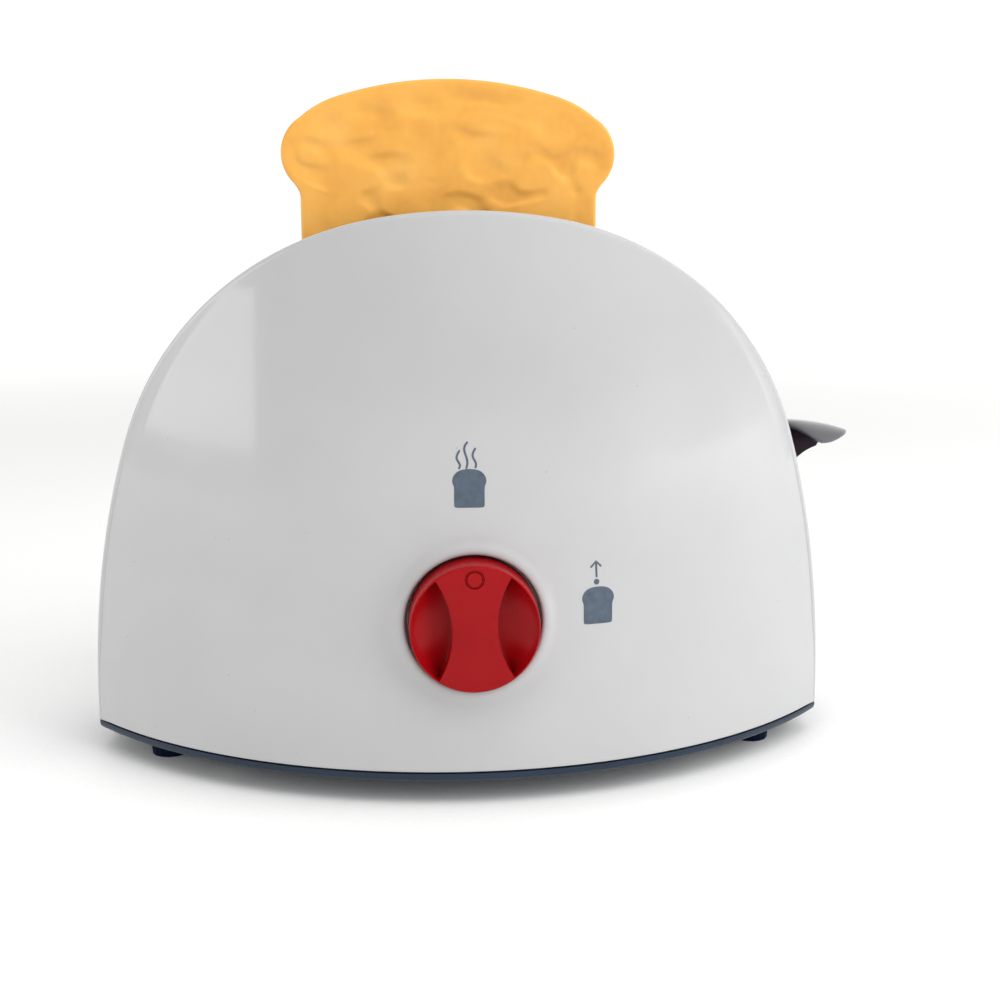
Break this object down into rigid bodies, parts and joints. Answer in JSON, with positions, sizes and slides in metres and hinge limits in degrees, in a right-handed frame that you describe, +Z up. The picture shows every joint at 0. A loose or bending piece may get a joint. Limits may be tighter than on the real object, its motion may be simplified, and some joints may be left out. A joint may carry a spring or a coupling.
{
  "type": "toy toaster",
  "caption": "Arched toy pop-up toaster with a lens-shaped plan, a push-down side lever, a turning front knob, and play slices of toast that rise from slots in its deck.",
  "frame": {"origin": "on the floor plane under the middle of the bounding box, lever and knob included", "axes": "+X to the viewer's right, where the lever is; +Y from the knob's side to the back; +Z up"},
  "size_m": [0.175, 0.1052, 0.1485],
  "materials": {
    "shell_grey": "semi-gloss pale grey",
    "slate_plastic": "semi-gloss slate blue",
    "foot_dark": "matt navy black",
    "lever_charcoal": "glossy charcoal",
    "knob_red": "semi-gloss red",
    "toast_plastic": "satin toast yellow",
    "inner_white": "matt off-white",
    "steel": "zinc-plated steel"
  },
  "bodies": {
    "housing": {"front_shell": "shell_grey", "rear_shell": "shell_grey", "centre_band": "slate_plastic", "base_tray": "slate_plastic", "foot_front_left": "foot_dark", "foot_front_right": "foot_dark", "foot_rear_left": "foot_dark", "foot_rear_right": "foot_dark", "base_screw_front_left": "steel", "base_screw_front_right": "steel", "base_screw_rear_left": "steel", "base_screw_rear_right": "steel", "case_screw_upper_left": "steel", "case_screw_upper_right": "steel", "case_screw_lower_left": "steel", "case_screw_lower_right": "steel", "guide_rod_left": "steel", "guide_rod_right": "steel", "lift_spring_left": "steel", "lift_spring_right": "steel", "latch_pin": "steel"},
    "carriage": {"toast_carriage": "inner_white", "lever_paddle": "lever_charcoal", "lever_screw": "steel"},
    "slice_front": {"toast_front": "toast_plastic"},
    "slice_rear": {"toast_rear": "toast_plastic"},
    "knob": {"control_knob": "knob_red", "knob_spindle": "inner_white", "spindle_clip": "steel"},
    "latch": {"latch_hook": "inner_white", "latch_spring": "steel"}
  },
  "joints": [
    {"name": "lift_slide", "type": "slide", "parent": "housing", "child": "carriage", "axis": [0, 0, 1], "range_m": [-0.028, 0], "stiffness_N_per_m": 90, "springref_m": 0.035, "deforming": ["lift_spring_left", "lift_spring_right"]},
    {"name": "front_slice_lift", "type": "slide", "parent": "carriage", "child": "slice_front", "axis": [0, 0, 1], "range_m": [0, 0.06]},
    {"name": "rear_slice_lift", "type": "slide", "parent": "carriage", "child": "slice_rear", "axis": [0, 0, 1], "range_m": [0, 0.06]},
    {"name": "knob_turn", "type": "hinge", "parent": "housing", "child": "knob", "pos_m": [-0.0039, -0.0441, 0.0387], "axis": [0, 1, 0], "range_deg": [0, 82]},
    {"name": "latch_swing", "type": "hinge", "parent": "housing", "child": "latch", "pos_m": [0.0115, -0.0142, 0.014], "axis": [0, 1, 0], "range_deg": [0, 8], "stiffness_Nm_per_rad": 0.02}
  ],
  "couplings": [
    {"joint": "latch_swing", "follows": "knob_turn", "ratio": 0.0975}
  ]
}
